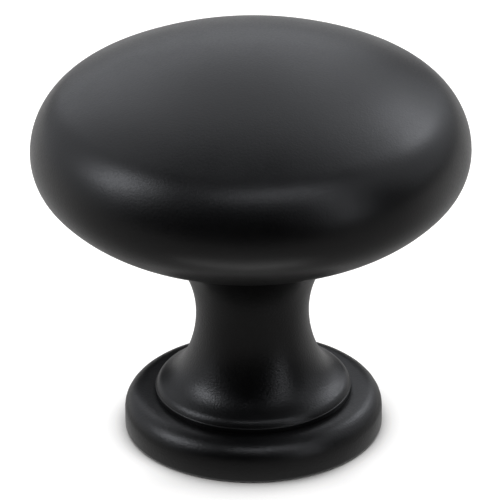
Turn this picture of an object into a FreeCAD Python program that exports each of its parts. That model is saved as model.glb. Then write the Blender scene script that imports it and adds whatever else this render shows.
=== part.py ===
"""Mushroom cabinet knob: one zinc die casting with a domed head, an undercut neck and a round foot.

The knob is a turned form, so its outline is drawn once, as tangent arcs in a half plane, and revolved about Z.
A blind hole in the foot takes the machine screw that comes through the cabinet front.
Units are millimetres. The origin is the centre of the flat back, on the axis of the screw, and Z points
away from the cabinet front.
"""
import FreeCAD, Part
import math
import os

from FreeCAD import Vector

# Foot, the round base that seats on the cabinet front
FOOT_DIAMETER = 18.95
FOOT_THICKNESS = 2.92
FOOT_SHOULDER_RADIUS = 1.5
FOOT_BOTTOM_ROUND = 0.2
FOOT_LEDGE_WIDTH = 0.8

# Collar, the low bead at the foot of the flare, with a hollow above it
COLLAR_STEP = 0.14
COLLAR_BEAD_RADIUS = 0.85
COLLAR_BEAD_SWEEP = math.radians(78.0)
COLLAR_HOLLOW_RADIUS = 1.44

# Neck, measured at its thinnest circle
NECK_DIAMETER = 8.29
NECK_RISE = 6.4

# Head, measured at its widest circle
HEAD_DIAMETER = 32.0
HEAD_RISE = 13.11
UNDERSIDE_RADIUS = 9.64
LOWER_SHOULDER_RADIUS = 3.89
LOWER_SHOULDER_SWEEP = math.radians(40.7)
UPPER_SHOULDER_RADIUS = 4.92
DOME_RADIUS = 27.35

# Tapped hole for a number 8 machine screw with 32 threads to the inch, left at its tap drill
TAP_DRILL_DIAMETER = 3.45
TAP_DRILL_DEPTH = 12.5
DRILL_POINT_ANGLE = math.radians(118.0)
COUNTERSINK_DIAMETER = 4.8
COUNTERSINK_ANGLE = math.radians(90.0)

# Heights up the axis, each from the one below it
neck_height = FOOT_THICKNESS + NECK_RISE
widest_height = neck_height + HEAD_RISE

# Radii of the turned form
foot_radius = FOOT_DIAMETER / 2
shoulder_foot_radius = foot_radius - FOOT_SHOULDER_RADIUS
collar_radius = shoulder_foot_radius - FOOT_LEDGE_WIDTH
neck_radius = NECK_DIAMETER / 2
head_radius = HEAD_DIAMETER / 2


def in_plane(radius, height):
    """A point of the outline, in the half plane that is revolved."""
    return Vector(radius, 0, height)


def on_circle(center, radius, angle):
    """The point of a circle at an angle from the outward direction, counted upwards."""
    return center + in_plane(radius * math.cos(angle), radius * math.sin(angle))


def angle_to(center, point):
    """The angle at which a point is seen from the center of a circle."""
    return math.atan2(point.z - center.z, point.x - center.x)


def arc(center, radius, start, end):
    """The arc of a circle from one angle to another, as an edge."""
    middle = on_circle(center, radius, (start + end) / 2)
    return Part.Arc(on_circle(center, radius, start), middle, on_circle(center, radius, end)).toShape()


def line(start, end):
    """A straight edge of the outline."""
    return Part.LineSegment(start, end).toShape()


def foot_edges():
    """The foot from the flat back to the foot of the collar: bottom round, wall, shoulder and ledge."""
    bottom_center = in_plane(foot_radius - FOOT_BOTTOM_ROUND, FOOT_BOTTOM_ROUND)
    shoulder_center = in_plane(shoulder_foot_radius, FOOT_THICKNESS - FOOT_SHOULDER_RADIUS)
    return [
        line(in_plane(0, 0), in_plane(bottom_center.x, 0)),
        arc(bottom_center, FOOT_BOTTOM_ROUND, -math.pi / 2, 0),
        line(in_plane(foot_radius, bottom_center.z), in_plane(foot_radius, shoulder_center.z)),
        arc(shoulder_center, FOOT_SHOULDER_RADIUS, 0, math.pi / 2),
        line(in_plane(shoulder_center.x, FOOT_THICKNESS), in_plane(collar_radius, FOOT_THICKNESS)),
    ]


def collar_edges():
    """The step of the collar, its bead, the hollow above it, and the flare up to the thinnest neck.

    The hollow touches the bead where the bead's sweep ends. The flare's radius follows from its two
    ends: it leaves the neck upright and runs tangent into the hollow.
    """
    bead_center = in_plane(collar_radius - COLLAR_BEAD_RADIUS, FOOT_THICKNESS + COLLAR_STEP)
    hollow_center = on_circle(bead_center, COLLAR_BEAD_RADIUS + COLLAR_HOLLOW_RADIUS, COLLAR_BEAD_SWEEP)
    across = hollow_center.x - neck_radius
    down = neck_height - hollow_center.z
    flare_radius = (across**2 + down**2 - COLLAR_HOLLOW_RADIUS**2) / (2 * (across - COLLAR_HOLLOW_RADIUS))
    flare_center = in_plane(neck_radius + flare_radius, neck_height)
    meeting = angle_to(flare_center, hollow_center) + 2 * math.pi
    return [
        line(in_plane(collar_radius, FOOT_THICKNESS), in_plane(collar_radius, bead_center.z)),
        arc(bead_center, COLLAR_BEAD_RADIUS, 0, COLLAR_BEAD_SWEEP),
        arc(hollow_center, COLLAR_HOLLOW_RADIUS, COLLAR_BEAD_SWEEP + math.pi, meeting),
        arc(flare_center, flare_radius, meeting, math.pi),
    ]


def head_edges():
    """The neck opening out under the head, the rounded rim of the head, and its dome up to the axis.

    The arc above the neck is the one that leaves the neck upright and touches the bulging underside, so
    the two make one smooth S. The dome is centred on the axis and touches the upper shoulder.
    """
    lower_center = in_plane(head_radius - LOWER_SHOULDER_RADIUS, widest_height)
    underside_center = on_circle(lower_center, LOWER_SHOULDER_RADIUS - UNDERSIDE_RADIUS, -LOWER_SHOULDER_SWEEP)
    across = underside_center.x - neck_radius
    up = underside_center.z - neck_height
    throat_radius = (across**2 + up**2 - UNDERSIDE_RADIUS**2) / (2 * (across + UNDERSIDE_RADIUS))
    throat_center = in_plane(neck_radius + throat_radius, neck_height)
    meeting = angle_to(throat_center, underside_center)

    upper_center = in_plane(head_radius - UPPER_SHOULDER_RADIUS, widest_height)
    dome_drop = math.sqrt((DOME_RADIUS - UPPER_SHOULDER_RADIUS)**2 - upper_center.x**2)
    dome_center = in_plane(0, widest_height - dome_drop)
    dome_start = angle_to(dome_center, upper_center)
    return [
        arc(throat_center, throat_radius, math.pi, meeting),
        arc(underside_center, UNDERSIDE_RADIUS, meeting - math.pi, -LOWER_SHOULDER_SWEEP),
        arc(lower_center, LOWER_SHOULDER_RADIUS, -LOWER_SHOULDER_SWEEP, 0),
        arc(upper_center, UPPER_SHOULDER_RADIUS, 0, dome_start),
        arc(dome_center, DOME_RADIUS, dome_start, math.pi / 2),
        line(on_circle(dome_center, DOME_RADIUS, math.pi / 2), in_plane(0, 0)),
    ]


def revolved(edges):
    """The solid that a closed outline sweeps about the knob's axis."""
    face = Part.Face(Part.Wire(edges))
    return face.revolve(Vector(0, 0, 0), Vector(0, 0, 1), 360)


def screw_hole():
    """The blind hole: countersunk mouth, tap drill and the cone that the drill's point leaves."""
    drill_radius = TAP_DRILL_DIAMETER / 2
    mouth_radius = COUNTERSINK_DIAMETER / 2
    countersink_depth = (mouth_radius - drill_radius) / math.tan(COUNTERSINK_ANGLE / 2)
    point_length = drill_radius / math.tan(DRILL_POINT_ANGLE / 2)
    corners = [
        in_plane(0, 0),
        in_plane(mouth_radius, 0),
        in_plane(drill_radius, countersink_depth),
        in_plane(drill_radius, TAP_DRILL_DEPTH),
        in_plane(0, TAP_DRILL_DEPTH + point_length),
    ]
    closed = corners + corners[:1]
    return revolved([line(start, end) for start, end in zip(closed, closed[1:])])


def knob():
    """The casting: the turned form with the screw hole cut into its foot."""
    turned = revolved(foot_edges() + collar_edges() + head_edges())
    return turned.cut(screw_hole()).Solids[0]


def main():
    os.makedirs("parts", exist_ok=True)
    shape = knob()
    shape.exportStep("parts/knob.step")
    box = shape.optimalBoundingBox()
    print("knob", round(box.XLength, 3), "across and", round(box.ZLength, 3), "high, volume",
          round(shape.Volume, 1), "valid", shape.isValid())


main()
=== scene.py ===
# %% [markdown]
# A mushroom cabinet knob in matt black.
#
# The real knob is one zinc casting with a thin black coat: a domed head, a waisted neck, a flared collar and
# a round foot that seats on the cabinet front. A screw comes through the door and into a tapped hole in the
# foot. The solid model of it is loaded first, as a frame that nothing here moves. This lesson models the same
# casting again as a finer mesh, because a coat like this shows every facet in its reflections.

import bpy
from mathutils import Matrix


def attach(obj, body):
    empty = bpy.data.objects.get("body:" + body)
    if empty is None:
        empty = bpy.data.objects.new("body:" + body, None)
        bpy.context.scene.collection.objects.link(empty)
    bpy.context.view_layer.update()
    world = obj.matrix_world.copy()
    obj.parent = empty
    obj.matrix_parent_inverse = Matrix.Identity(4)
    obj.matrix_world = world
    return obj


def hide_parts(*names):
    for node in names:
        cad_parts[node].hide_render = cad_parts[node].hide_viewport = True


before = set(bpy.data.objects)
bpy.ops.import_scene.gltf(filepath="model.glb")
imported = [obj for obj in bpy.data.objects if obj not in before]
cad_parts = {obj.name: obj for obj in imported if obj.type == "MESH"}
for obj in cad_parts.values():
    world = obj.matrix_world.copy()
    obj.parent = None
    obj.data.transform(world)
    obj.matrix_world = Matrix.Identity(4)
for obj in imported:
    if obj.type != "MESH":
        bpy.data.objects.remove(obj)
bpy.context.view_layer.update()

# %% Modules and the unit
import math

import bmesh
import bpy
from mathutils import Matrix, Vector

MM = 0.001

# %% [markdown]
# The camera comes first, so that every later step can be compared with the photograph.
# It was matched to the picture: a long lens from about half a metre, looking 27 degrees down, turned by a
# hair about its own axis. A camera's pose is its position and three turns, so it is written that way.

# %% Camera
CAMERA_PLACE = Vector((0, -445.5, 242.32)) * MM
CAMERA_DOWN = math.radians(27.113)
CAMERA_ROLL = math.radians(-0.625)
CAMERA_SWING = math.radians(-0.017)
CAMERA_LENS = 494.06
SENSOR_WIDTH = 36.0


def add_camera():
    """The photograph's camera: it starts looking along +Y and level, is tipped down, and then rolled."""
    data = bpy.data.cameras.new("photo_camera")
    data.lens = CAMERA_LENS
    data.sensor_width = SENSOR_WIDTH
    data.clip_start = 0.01
    camera = bpy.data.objects.new("photo_camera", data)
    bpy.context.scene.collection.objects.link(camera)
    swing = Matrix.Rotation(-CAMERA_SWING, 4, "Z")
    tip = Matrix.Rotation(math.pi / 2 - CAMERA_DOWN, 4, "X")
    roll = Matrix.Rotation(CAMERA_ROLL, 4, "Z")
    camera.matrix_world = Matrix.Translation(CAMERA_PLACE) @ swing @ tip @ roll
    bpy.context.scene.camera = camera
    return camera


camera = add_camera()
print("camera at", [round(v, 4) for v in camera.matrix_world.translation])

# %% [markdown]
# The knob is a turned form, so all of it is in one outline. On a lathe, and here too, such an outline is a
# chain of arcs that run smoothly into each other: each arc's end has the direction in which the next begins.
# That smoothness is what a satin black coat shows best, because a kink would break the highlight in two.
# The sizes are in millimetres. They are those of the solid model, but for the foot's lower edge and the
# collar, whose bead, hollow, fine rolled lip and groove under it follow the highlights more closely.

# %% Sizes of the casting
FOOT_RADIUS = 9.475
FOOT_THICKNESS = 2.92
FOOT_SHOULDER = 1.5
FOOT_BOTTOM_ROUND = 0.3
LEDGE_WIDTH = 0.8
COLLAR_STEP = 0.14
COLLAR_BEAD = 0.85
COLLAR_BEAD_SWEEP = math.radians(67.0)
COLLAR_HOLLOW = 3.0
LIP_START = math.radians(9.0)
LIP_ROUND = 0.08
LIP_RISE = 0.04
LIP_UNDERCUT = math.radians(10.0)
GROOVE_DEPTH = 0.1
NECK_RADIUS = 4.145
NECK_RISE = 6.4
HEAD_RADIUS = 16.0
HEAD_RISE = 13.11
UNDERSIDE_RADIUS = 9.64
LOWER_SHOULDER = 3.89
LOWER_SHOULDER_SWEEP = math.radians(40.7)
UPPER_SHOULDER = 4.92
DOME_RADIUS = 27.35

# %% Sizes of the screw hole
DRILL_RADIUS = 1.725
DRILL_DEPTH = 12.5
DRILL_POINT = math.radians(118.0)
COUNTERSINK_RADIUS = 2.4
THREAD_RADIUS = 2.083
THREAD_PITCH = 25.4 / 32
THREAD_END = 11.3

# %% Centres of the arcs, worked out from those sizes
collar_radius = FOOT_RADIUS - FOOT_SHOULDER - LEDGE_WIDTH
neck_height = FOOT_THICKNESS + NECK_RISE
widest_height = neck_height + HEAD_RISE


def polar(radius, angle):
    """A step of that length in the outline's plane, at an angle counted up from the outward direction."""
    return Vector((radius * math.cos(angle), 0, radius * math.sin(angle)))


def angle_between(center, point):
    """The angle at which a point is seen from a centre."""
    return math.atan2(point.z - center.z, point.x - center.x)


bead_center = Vector((collar_radius - COLLAR_BEAD, 0, FOOT_THICKNESS + COLLAR_STEP))
hollow_center = bead_center + polar(COLLAR_BEAD + COLLAR_HOLLOW, COLLAR_BEAD_SWEEP)
lip_reach = COLLAR_BEAD - LIP_ROUND + LIP_RISE
lip_center = bead_center + polar(lip_reach, LIP_START)
lip_cosine = (lip_reach**2 + COLLAR_BEAD**2 - LIP_ROUND**2) / (2 * lip_reach * COLLAR_BEAD)
bead_start = LIP_START + math.acos(lip_cosine)
lip_end = angle_between(lip_center, bead_center + polar(COLLAR_BEAD, bead_start))
lip_low = lip_center + polar(LIP_ROUND, -LIP_UNDERCUT)
groove_height = FOOT_THICKNESS - GROOVE_DEPTH
lip_root = lip_low.x - (lip_low.z - groove_height) * math.tan(LIP_UNDERCUT)
across = hollow_center.x - NECK_RADIUS
down = neck_height - hollow_center.z
flare_radius = (across**2 + down**2 - COLLAR_HOLLOW**2) / (2 * (across - COLLAR_HOLLOW))
flare_center = Vector((NECK_RADIUS + flare_radius, 0, neck_height))
flare_angle = angle_between(flare_center, hollow_center)

lower_center = Vector((HEAD_RADIUS - LOWER_SHOULDER, 0, widest_height))
underside_center = lower_center + polar(LOWER_SHOULDER - UNDERSIDE_RADIUS, -LOWER_SHOULDER_SWEEP)
across = underside_center.x - NECK_RADIUS
up = underside_center.z - neck_height
throat_radius = (across**2 + up**2 - UNDERSIDE_RADIUS**2) / (2 * (across + UNDERSIDE_RADIUS))
throat_center = Vector((NECK_RADIUS + throat_radius, 0, neck_height))
throat_angle = angle_between(throat_center, underside_center)

upper_center = Vector((HEAD_RADIUS - UPPER_SHOULDER, 0, widest_height))
dome_drop = math.sqrt((DOME_RADIUS - UPPER_SHOULDER)**2 - upper_center.x**2)
dome_center = Vector((0, 0, widest_height - dome_drop))
dome_angle = angle_between(dome_center, upper_center)
print("flare", round(flare_radius, 3), "throat", round(throat_radius, 3))
print("apex", round(dome_center.z + DOME_RADIUS, 3))

# %% [markdown]
# The outline is drawn as by hand. One vertex is the pen: it is extruded along the straight runs, and spun
# about an arc's centre along the round ones, so an arc is a true arc with as many steps as its size needs.
# The pen starts on the axis at the tip of the drilled hole, goes down the hole and its countersink, out
# across the flat back, and up the outside to the top of the dome.

# %% The pen
STEP_LENGTH = 0.42
WIDEST_TURN = math.radians(12)


def start_pen(name, place):
    """A new mesh object with one vertex, left in edit mode with that vertex selected."""
    bpy.ops.object.select_all(action="DESELECT")
    bpy.ops.mesh.primitive_plane_add(size=MM, location=place * MM)
    piece = bpy.context.object
    piece.name = name
    bpy.ops.object.transform_apply(location=True, rotation=True, scale=True)
    bpy.ops.object.mode_set(mode="EDIT")
    bpy.ops.mesh.merge(type="CENTER")
    bpy.context.tool_settings.mesh_select_mode = (True, False, False)
    return piece


def pen_place(piece):
    """Where the pen stands now, in millimetres: the one selected vertex."""
    mesh = bmesh.from_edit_mesh(piece.data)
    selected = [vertex for vertex in mesh.verts if vertex.select]
    return selected[0].co / MM


def run_to(piece, radius, height):
    """A straight stretch of the outline from the pen to a point."""
    step = Vector((radius, 0, height)) - pen_place(piece)
    bpy.ops.mesh.extrude_region_move(TRANSFORM_OT_translate={"value": step * MM})


def turn_about(piece, center, sweep):
    """A round stretch: the pen is spun about a centre, counterclockwise seen from the front if sweep > 0."""
    radius = (pen_place(piece) - center).length
    finest = abs(sweep) / WIDEST_TURN
    longest = abs(sweep) * radius / STEP_LENGTH
    steps = math.ceil(max(finest, longest))
    bpy.ops.mesh.spin(steps=steps, angle=sweep, center=center * MM, axis=(0, 1, 0))
    place = [round(v, 3) for v in pen_place(piece)]
    print("  arc of radius", round(radius, 2), "in", steps, "steps, to", place)


# %% [markdown]
# The hole first. Its countersink is a chamfer of 45 degrees, so it is as deep as it is wide, and the cone
# at its end is what a drill's point of 118 degrees leaves.

# %% Outline of the hole and the foot
point_length = DRILL_RADIUS / math.tan(DRILL_POINT / 2)
countersink_depth = COUNTERSINK_RADIUS - DRILL_RADIUS

knob = start_pen("knob_casting", Vector((0, 0, DRILL_DEPTH + point_length)))
run_to(knob, DRILL_RADIUS, DRILL_DEPTH)
run_to(knob, DRILL_RADIUS, countersink_depth)
run_to(knob, COUNTERSINK_RADIUS, 0)
run_to(knob, FOOT_RADIUS - FOOT_BOTTOM_ROUND, 0)
turn_about(knob, Vector((FOOT_RADIUS - FOOT_BOTTOM_ROUND, 0, FOOT_BOTTOM_ROUND)), math.pi / 2)
run_to(knob, FOOT_RADIUS, FOOT_THICKNESS - FOOT_SHOULDER)
turn_about(knob, Vector((FOOT_RADIUS - FOOT_SHOULDER, 0, FOOT_THICKNESS - FOOT_SHOULDER)), math.pi / 2)
run_to(knob, lip_root, groove_height)

# %% Outline of the collar, the neck and the head
run_to(knob, lip_low.x, lip_low.z)
turn_about(knob, lip_center, lip_end + LIP_UNDERCUT)
turn_about(knob, bead_center, COLLAR_BEAD_SWEEP - bead_start)
turn_about(knob, hollow_center, flare_angle + math.pi - COLLAR_BEAD_SWEEP)
turn_about(knob, flare_center, -math.pi - flare_angle)
turn_about(knob, throat_center, throat_angle - math.pi)
turn_about(knob, underside_center, math.pi - LOWER_SHOULDER_SWEEP - throat_angle)
turn_about(knob, lower_center, LOWER_SHOULDER_SWEEP)
turn_about(knob, upper_center, dome_angle)
turn_about(knob, dome_center, math.pi / 2 - dome_angle)
print("the pen ends at", [round(v, 3) for v in pen_place(knob)])

# %% [markdown]
# Now the outline is turned into the casting: all of it is selected and spun once round the knob's axis.
# The last copy of the outline lies on the first, and every point on the axis is there many times over, so the
# doubles are merged. The normals are then recalculated, because a spin can leave a shape inside out.

# %% Turn the casting
TURN_STEPS = 192
MERGE_DISTANCE = 0.002

bpy.ops.mesh.select_all(action="SELECT")
bpy.ops.mesh.spin(steps=TURN_STEPS, angle=2 * math.pi, center=(0, 0, 0), axis=(0, 0, 1))
bpy.ops.mesh.select_all(action="SELECT")
bpy.ops.mesh.remove_doubles(threshold=MERGE_DISTANCE * MM)
bpy.ops.mesh.normals_make_consistent(inside=False)
bpy.ops.object.mode_set(mode="OBJECT")
print("casting:", len(knob.data.vertices), "vertices and", len(knob.data.polygons), "faces")

# %% [markdown]
# The hole is threaded as in the workshop: a tap is run in, and it cuts its groove into the drilled wall.
# The tap is one tooth's outline, drawn with the same pen and swept along its helix by the Screw modifier.
# The wall that the drill left between two grooves stays as the thread's crest, so the tap's own roots lie a
# little inside it, where they cut nothing. The Boolean modifier then takes the tap out of the casting.

# %% Sizes of the tap
TAP_ROOT_RADIUS = 1.6
TAP_LOW = -0.3
TAP_TURNS = 17
TAP_STEPS = 48
FLANK_ANGLE = math.radians(30)
CUT_TOLERANCE = 0.0001
SMOOTH_BELOW = math.radians(30)

tooth_tip = THREAD_PITCH / 8
flank_run = (THREAD_RADIUS - TAP_ROOT_RADIUS) * math.tan(FLANK_ANGLE)
tooth_gap = THREAD_PITCH - tooth_tip - 2 * flank_run
print("tooth: tip", round(tooth_tip, 3), "flank", round(flank_run, 3), "gap", round(tooth_gap, 3))

# %% Sweep the tap
tap = start_pen("tap", Vector((TAP_ROOT_RADIUS, 0, TAP_LOW - THREAD_PITCH)))
run_to(tap, TAP_ROOT_RADIUS, TAP_LOW - THREAD_PITCH + tooth_gap)
run_to(tap, THREAD_RADIUS, TAP_LOW - tooth_tip - flank_run)
run_to(tap, THREAD_RADIUS, TAP_LOW - flank_run)
run_to(tap, TAP_ROOT_RADIUS, TAP_LOW)
bpy.ops.object.mode_set(mode="OBJECT")

helix = tap.modifiers.new("helix", "SCREW")
helix.axis = "Z"
helix.angle = 2 * math.pi
helix.screw_offset = THREAD_PITCH * MM
helix.iterations = TAP_TURNS
helix.steps = TAP_STEPS
helix.render_steps = TAP_STEPS
bpy.ops.object.modifier_apply(modifier=helix.name)
print("swept tap:", len(tap.data.polygons), "faces")

# %% Cut the tap square and close it
bpy.ops.object.mode_set(mode="EDIT")
bpy.ops.mesh.select_all(action="SELECT")
bpy.ops.mesh.remove_doubles(threshold=MERGE_DISTANCE * MM)
bpy.ops.mesh.select_all(action="SELECT")
bpy.ops.mesh.bisect(plane_co=(0, 0, TAP_LOW * MM), plane_no=(0, 0, 1), use_fill=True,
                    clear_inner=True, threshold=CUT_TOLERANCE * MM)
bpy.ops.mesh.select_all(action="SELECT")
bpy.ops.mesh.bisect(plane_co=(0, 0, THREAD_END * MM), plane_no=(0, 0, 1), use_fill=True,
                    clear_outer=True, threshold=CUT_TOLERANCE * MM)
bpy.ops.mesh.select_all(action="SELECT")
bpy.ops.mesh.normals_make_consistent(inside=False)
bpy.ops.object.mode_set(mode="OBJECT")
print("closed tap:", len(tap.data.polygons), "faces,", [round(v / MM, 2) for v in tap.dimensions], "mm")

# %% Run the tap into the casting
bpy.ops.object.select_all(action="DESELECT")
bpy.context.view_layer.objects.active = knob
knob.select_set(True)
tapping = knob.modifiers.new("tapping", "BOOLEAN")
tapping.operation = "DIFFERENCE"
tapping.solver = "EXACT"
tapping.object = tap
bpy.ops.object.modifier_apply(modifier=tapping.name)
bpy.data.objects.remove(tap)
bpy.ops.object.shade_smooth_by_angle(angle=SMOOTH_BELOW)
print("tapped casting:", len(knob.data.vertices), "vertices and", len(knob.data.polygons), "faces")

# %% [markdown]
# The finished casting now takes the place of the solid model's node, on the one body that there is.

# %% The casting stands for the solid model's node
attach(knob, "root")
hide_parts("knob")

# %% [markdown]
# Shader nodes are wired by hand in Blender's editor. Here the same wires are written as arithmetic: a Wire is
# one output of a node, and a sum, difference or product on it adds the Math node that works it out. A Finish
# is a material under way, and its one method adds any other node, with its settings first and then its inputs.

# %% Wires and finishes
class Wire:
    """One output of a node, for use in arithmetic."""

    def __init__(self, finish, socket):
        self.finish = finish
        self.socket = socket

    def combine(self, operation, first, second):
        return self.finish.node("ShaderNodeMath", {"operation": operation}, {0: first, 1: second})

    def __add__(self, other):
        return self.combine("ADD", self, other)

    def __radd__(self, other):
        return self.combine("ADD", other, self)

    def __sub__(self, other):
        return self.combine("SUBTRACT", self, other)

    def __rsub__(self, other):
        return self.combine("SUBTRACT", other, self)

    def __mul__(self, other):
        return self.combine("MULTIPLY", self, other)

    def __rmul__(self, other):
        return self.combine("MULTIPLY", other, self)


class Finish:
    """A material, or the world, whose nodes are being wired."""

    def __init__(self, owner):
        owner.use_nodes = True
        self.owner = owner
        self.tree = owner.node_tree
        self.tree.nodes.clear()

    def node(self, kind, settings, inputs, output=0):
        """Adds a node and returns one of its outputs: settings by name, then inputs by name or number."""
        node = self.tree.nodes.new(kind)
        for name, value in settings.items():
            setattr(node, name, value)
        for name, value in inputs.items():
            if isinstance(value, Wire):
                self.tree.links.new(value.socket, node.inputs[name])
            else:
                node.inputs[name].default_value = value
        return Wire(self, node.outputs[output]) if node.outputs else None

    def ramp(self, value, start, end, low=0.0, high=1.0):
        """Goes smoothly from low to high while a value goes from start to end."""
        limits = {"From Min": start, "From Max": end, "To Min": low, "To Max": high}
        smooth = {"interpolation_type": "SMOOTHSTEP"}
        return self.node("ShaderNodeMapRange", smooth, {"Value": value, **limits})

    def mix(self, share, first, second):
        """A colour between two: the first where the share is 0, the second where it is 1."""
        inputs = {0: share, 6: first, 7: second}
        return self.node("ShaderNodeMix", {"data_type": "RGBA"}, inputs, output=2)


# %% [markdown]
# The coat is a matt black finish over zinc, sprayed and baked. Close up such a coat isn't flat: it has the
# slow waves of a film that levelled before it set, a fine grain, and places that dried a little duller.
# All three are noise on the piece's own Object coordinates, in metres, so a scale of 1000 is one wave per
# millimetre. They are weak, because the real knob looks smooth from a step away: what shows its form is the
# broad sheen of a middling roughness. The grain is stronger in the throat, where a spray arrives half dry.
# Threads are cut after coating, so the hole is bare metal.

# %% Coat
COAT_COLOUR = (0.0006, 0.0006, 0.0007, 1)
COAT_DULL_COLOUR = (0.0012, 0.0012, 0.0013, 1)
COAT_ROUGHNESS = 0.38
COAT_ROUGHNESS_SPREAD = 0.03
GRAIN_ROUGHNESS_SPREAD = 0.16
GRAIN_IN_THROAT = 1.8
GRAIN_ON_HEAD = 0.8
COAT_IOR = 1.36
FILM_WAVES_PER_METRE = 650
GRAIN_PER_METRE = 6000
DULL_PLACES_PER_METRE = 160
FILM_WAVE_HEIGHT = 0.5
BUMP_HEIGHT = 0.009 * MM
THROAT_TOP = 8 * MM
HEAD_START = 16 * MM
BARE_RADIUS = 2.45 * MM
COATED_RADIUS = 2.52 * MM
RAGGED_EDGE = 0.2 * MM
HOLE_TOP = 14 * MM
ZINC_COLOUR = (0.48, 0.49, 0.51, 1)
ZINC_ROUGHNESS = 0.34


def add_coat():
    """The black coat with its waves, grain and duller places, and the bare zinc of the tapped hole."""
    finish = Finish(bpy.data.materials.new("matt_black_coat"))
    place = finish.node("ShaderNodeTexCoord", {}, {}, output="Object")

    def noise(waves_per_metre, detail):
        inputs = {"Vector": place, "Scale": waves_per_metre, "Detail": detail}
        return finish.node("ShaderNodeTexNoise", {}, inputs, output="Fac")

    film_waves = noise(FILM_WAVES_PER_METRE, 1.0)
    grain = noise(GRAIN_PER_METRE, 2.0)
    dull_places = finish.ramp(noise(DULL_PLACES_PER_METRE, 3.0), 0.42, 0.66)

    flat = finish.node("ShaderNodeVectorMath", {"operation": "MULTIPLY"}, {0: place, 1: (1, 1, 0)})
    off_axis = finish.node("ShaderNodeVectorMath", {"operation": "LENGTH"}, {0: flat}, output="Value")
    height = finish.node("ShaderNodeSeparateXYZ", {}, {"Vector": place}, output="Z")
    inside_hole = finish.ramp(off_axis + grain * RAGGED_EDGE, BARE_RADIUS, COATED_RADIUS, 1.0, 0.0)
    bare = inside_hole * finish.ramp(height, HOLE_TOP, HOLE_TOP + MM, 1.0, 0.0)

    coat_colour = finish.mix(dull_places, COAT_COLOUR, COAT_DULL_COLOUR)
    colour = finish.mix(bare, coat_colour, ZINC_COLOUR)
    coat_roughness = (COAT_ROUGHNESS + (dull_places - 0.5) * COAT_ROUGHNESS_SPREAD
                      + (grain - 0.5) * GRAIN_ROUGHNESS_SPREAD)
    roughness = coat_roughness * (1 - bare) + bare * ZINC_ROUGHNESS
    grain_height = grain * finish.ramp(height, THROAT_TOP, HEAD_START, GRAIN_IN_THROAT, GRAIN_ON_HEAD)
    relief = film_waves * FILM_WAVE_HEIGHT + grain_height
    bump = finish.node("ShaderNodeBump", {}, {"Height": relief, "Strength": 1.0, "Distance": BUMP_HEIGHT})
    shader = finish.node("ShaderNodeBsdfPrincipled", {},
                         {"Base Color": colour, "Metallic": bare, "Roughness": roughness, "IOR": COAT_IOR,
                          "Normal": bump})
    finish.node("ShaderNodeOutputMaterial", {}, {"Surface": shader})
    return finish.owner


knob.data.materials.clear()
knob.data.materials.append(add_coat())
print("coat:", len(knob.data.materials[0].node_tree.nodes), "nodes")

# %% [markdown]
# The knob stands on white paper. The picture's background is pure white with only a soft shadow at the foot,
# which lamps alone would give by flooding the knob with light. So the paper is an ordinary white that the
# lamps light as far as they do, and for the camera's own rays it also glows: open paper then reaches white.
# The shadow at the foot is a painted shadow in that glow: close to the foot, where an Ambient Occlusion node
# finds the sky covered, the glow fades, and the paper in front of the foot is darkened a little more.
# In the knob's reflections the paper shows painted light: a glow behind the knob that fades to nothing in
# front, a painted shadow under the head where a wider Ambient Occlusion finds the sky covered, and a
# painted bright ring close round the foot.

# %% Paper
PAPER_COLOUR = (0.42, 0.405, 0.38, 1)
PAPER_GLOW = 0.9
FRONT_SHADE = 0.11
MIRRORED_IN_FRONT = 0.0
MIRRORED_BEHIND = 0.4
PAINTED_RING_AT_FOOT = 0.45
CONTACT_REACH = 14 * MM
SHADE_REACH = 35 * MM
FRONT_SHADE_START = -6 * MM
FRONT_SHADE_FULL = -10 * MM
MIRRORED_FADE = 15 * MM
FOOT_EDGE = 9.5 * MM
FOOT_GLOW_END = 13 * MM
PAPER_LEFT, PAPER_RIGHT = -400, 400
PAPER_FRONT, PAPER_BACK = -80, 500


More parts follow.
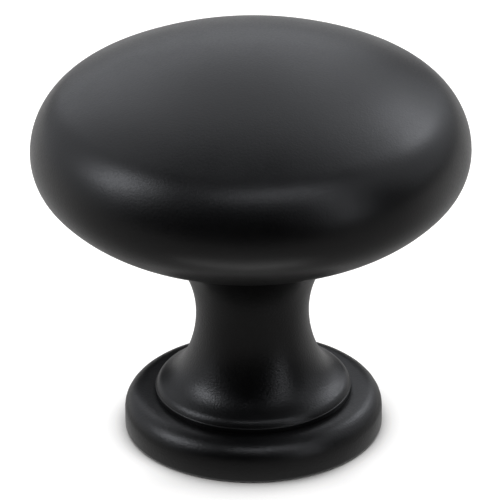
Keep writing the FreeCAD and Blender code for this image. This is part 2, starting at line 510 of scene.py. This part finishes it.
def add_paper():
    """The white sheet under the knob."""
    bpy.ops.object.select_all(action="DESELECT")
    bpy.ops.mesh.primitive_plane_add(size=MM)
    paper = bpy.context.object
    paper.name = "paper"
    middle = Vector(((PAPER_LEFT + PAPER_RIGHT) / 2, (PAPER_FRONT + PAPER_BACK) / 2, 0))
    paper.scale = (PAPER_RIGHT - PAPER_LEFT, PAPER_BACK - PAPER_FRONT, 1)
    paper.location = middle * MM
    bpy.ops.object.transform_apply(location=True, rotation=True, scale=True)

    finish = Finish(bpy.data.materials.new("white_paper"))
    seen = finish.node("ShaderNodeLightPath", {}, {}, output="Is Camera Ray")
    mirrored = finish.node("ShaderNodeLightPath", {}, {}, output="Is Glossy Ray")
    through = finish.node("ShaderNodeLightPath", {}, {}, output="Is Transmission Ray")
    lit = finish.node("ShaderNodeBsdfDiffuse", {}, {"Color": PAPER_COLOUR})
    near = {"Distance": CONTACT_REACH}
    # Painted shadow at the foot: the camera's glow fades where this Ambient Occlusion finds the sky covered.
    open_sky = finish.node("ShaderNodeAmbientOcclusion", {"samples": 24}, near, output="AO")
    place = finish.node("ShaderNodeTexCoord", {}, {}, output="Object")
    away = finish.node("ShaderNodeSeparateXYZ", {}, {"Vector": place}, output="Y")
    # Painted shade in front: the paper in front of the foot glows a little less for the camera.
    front_shade = finish.ramp(away, FRONT_SHADE_FULL, FRONT_SHADE_START, FRONT_SHADE, 0.0)
    camera_glow_with_painted_shadow = finish.ramp(open_sky - front_shade, 0.3, 1.0) * PAPER_GLOW
    # Painted shadow in reflections: under the head, where this wider Ambient Occlusion finds the sky covered,
    # the mirrored glow fades.
    far = {"Distance": SHADE_REACH}
    wide_sky = finish.node("ShaderNodeAmbientOcclusion", {"samples": 8}, far, output="AO")
    # Painted light for reflections only: the paper glows behind the knob and not in front.
    mirrored_glow = finish.ramp(away, -MIRRORED_FADE, MIRRORED_FADE, MIRRORED_IN_FRONT, MIRRORED_BEHIND)
    mirrored_glow_with_painted_shadow = finish.ramp(wide_sky, 0.6, 0.97) * mirrored_glow
    # Painted bright ring on the paper close round the foot, seen only in reflections.
    off_axis = finish.node("ShaderNodeVectorMath", {"operation": "LENGTH"}, {0: place}, output="Value")
    painted_ring_at_foot = finish.ramp(off_axis, FOOT_EDGE, FOOT_GLOW_END, PAINTED_RING_AT_FOOT, 0.0)
    strength = (seen + through) * camera_glow_with_painted_shadow + mirrored * (mirrored_glow_with_painted_shadow + painted_ring_at_foot)
    glow = finish.node("ShaderNodeEmission", {}, {"Strength": strength})
    both = finish.node("ShaderNodeAddShader", {}, {0: lit, 1: glow})
    finish.node("ShaderNodeOutputMaterial", {}, {"Surface": both})
    paper.data.materials.append(finish.owner)
    return paper


paper = add_paper()
print("paper:", [round(v, 3) for v in paper.dimensions], "m")

# %% [markdown]
# A black card, which photographers call a flag, keeps a white sheet out of a glossy piece's reflections. Two
# small ones stand behind the foot, and they make a painted shade: the ledge round the collar mirrors them
# instead of the bright paper there, so it shows darker. Only reflections show them: the camera doesn't see
# them, and they throw no shadow.

# %% Flags
FLAG_DISTANCE = 16
FLAG_COLOUR = (0.004, 0.004, 0.004, 1)


def add_flag(name, left, right, low, high):
    """A small black card standing on edge behind the foot, seen only in reflections."""
    bpy.ops.object.select_all(action="DESELECT")
    bpy.ops.mesh.primitive_plane_add(size=MM)
    flag = bpy.context.object
    flag.name = name
    flag.scale = (right - left, high - low, 1)
    flag.rotation_euler = (math.pi / 2, 0, 0)
    flag.location = Vector(((left + right) / 2, FLAG_DISTANCE, (low + high) / 2)) * MM
    bpy.ops.object.transform_apply(location=True, rotation=True, scale=True)
    finish = Finish(bpy.data.materials.new("black_card"))
    card = finish.node("ShaderNodeBsdfDiffuse", {}, {"Color": FLAG_COLOUR})
    finish.node("ShaderNodeOutputMaterial", {}, {"Surface": card})
    flag.data.materials.append(finish.owner)
    flag.visible_camera = False
    flag.visible_shadow = False
    flag.visible_diffuse = False
    return flag


# Painted shade on the ledge round the collar, made by these cards in its reflections.
flags = [
    add_flag("flag_left", -17, -3, 4, 15),
    add_flag("flag_right", 5, 14, 3, 9.5),
]
print("flags:", [flag.name for flag in flags])

# %% [markdown]
# The studio round the knob is white where the camera looks, and for the knob it is a pale backdrop behind
# and a dark room in front. The dark front is what keeps the knob black: its front faces mirror the room.

# %% World
BACKDROP_LEVEL = 0.05


def add_world():
    """White for the camera, a pale backdrop in the back half for reflections, and dark in front."""
    world = bpy.data.worlds.new("studio")
    bpy.context.scene.world = world
    finish = Finish(world)
    seen = finish.node("ShaderNodeLightPath", {}, {}, output="Is Camera Ray")
    direction = finish.node("ShaderNodeTexCoord", {}, {}, output="Generated")
    away = finish.node("ShaderNodeSeparateXYZ", {}, {"Vector": direction}, output="Y")
    backdrop = finish.ramp(away, 0.1, 0.35) * BACKDROP_LEVEL
    strength = seen + (1 - seen) * backdrop
    glow = finish.node("ShaderNodeBackground", {}, {"Color": (1, 1, 1, 1), "Strength": strength})
    finish.node("ShaderNodeOutputWorld", {}, {"Surface": glow})
    return world


add_world()

# %% [markdown]
# Eight softboxes make the sheen. A black gloss shows lamps by their reflections alone, so each was placed by
# where its highlight lies in the photograph. A wide soft one and a small bright one stand on the left, and
# two more at the right behind. Two behind the knob light the dome and the ledge, a flat one high over the
# camera makes the streak along the front of the head, and a tall narrow one stands at the front right.
# A softbox is told by its direction, its angular size and its radiance, the brightness of its cloth.

# %% Softboxes
LAMP_DISTANCE = 0.9
LAMP_COLOUR = (0.957, 0.98, 1.04)
LAMP_AIM = Vector((0, 0, 18)) * MM


def add_softbox(name, side, height, wide, high, radiance):
    """An area lamp towards an azimuth (0 away from the camera, positive to the right) and elevation."""
    side, height, wide, high = [math.radians(angle) for angle in (side, height, wide, high)]
    data = bpy.data.lights.new(name, "AREA")
    data.shape = "RECTANGLE"
    data.size = 2 * LAMP_DISTANCE * math.tan(wide / 2)
    data.size_y = 2 * LAMP_DISTANCE * math.tan(high / 2)
    data.energy = math.pi * data.size * data.size_y * radiance
    data.color = LAMP_COLOUR
    lamp = bpy.data.objects.new(name, data)
    bpy.context.scene.collection.objects.link(lamp)
    level = math.cos(height)
    towards = Vector((math.sin(side) * level, math.cos(side) * level, math.sin(height)))
    lamp.location = LAMP_AIM + towards * LAMP_DISTANCE
    lamp.rotation_euler = towards.to_track_quat("Z", "Y").to_euler()
    lamp.visible_camera = False
    return lamp


softboxes = [
    add_softbox("left_wide", -72, 27, 83, 60, 0.78),
    add_softbox("left_key", -94, 37, 19, 28, 8.0),
    add_softbox("right_key", 43.5, 33, 16, 12, 9.4),
    add_softbox("right_wide", 56, 32, 72, 52, 0.95),
    add_softbox("back_high", 5, 62, 52, 25, 1.5),
    add_softbox("back_low", -8, 26, 44, 42, 1.36),
    add_softbox("front_top", 166, 63, 36, 8, 7.8),
    add_softbox("front_right", 130, 30, 11, 60, 3.7),
]
for lamp in softboxes:
    cloth = [round(lamp.data.size, 2), round(lamp.data.size_y, 2)]
    print(lamp.name, cloth, "m,", round(lamp.data.energy, 2), "W")

# %% [markdown]
# The soft bright band under the front of the head can only come from a light low in front of the foot. So a
# strip lamp lies there on the paper and shines straight up, with a spread that leaves the neck dark.

# %% Strip lamp
STRIP_PLACE = Vector((-2.5, -23, 0.3)) * MM
STRIP_SIZE = (26 * MM, 7 * MM)
STRIP_SPREAD = math.radians(80)
STRIP_RADIANCE = 0.5


def add_strip():
    """A narrow strip lamp flat on the paper in front of the knob, shining straight up through a grid."""
    data = bpy.data.lights.new("strip", "AREA")
    data.shape = "RECTANGLE"
    data.size, data.size_y = STRIP_SIZE
    data.spread = STRIP_SPREAD
    data.energy = math.pi * data.size * data.size_y * STRIP_RADIANCE
    lamp = bpy.data.objects.new("strip", data)
    bpy.context.scene.collection.objects.link(lamp)
    lamp.location = STRIP_PLACE
    lamp.rotation_euler = (math.pi, 0, 0)
    lamp.visible_camera = False
    return lamp


strip = add_strip()
print("strip:", round(strip.data.energy, 6), "W")

# %% [markdown]
# The Standard view shows a colour as it is written, so the black stays as deep as the coat's own colour.

# %% Colour management
bpy.context.scene.view_settings.view_transform = "Standard"
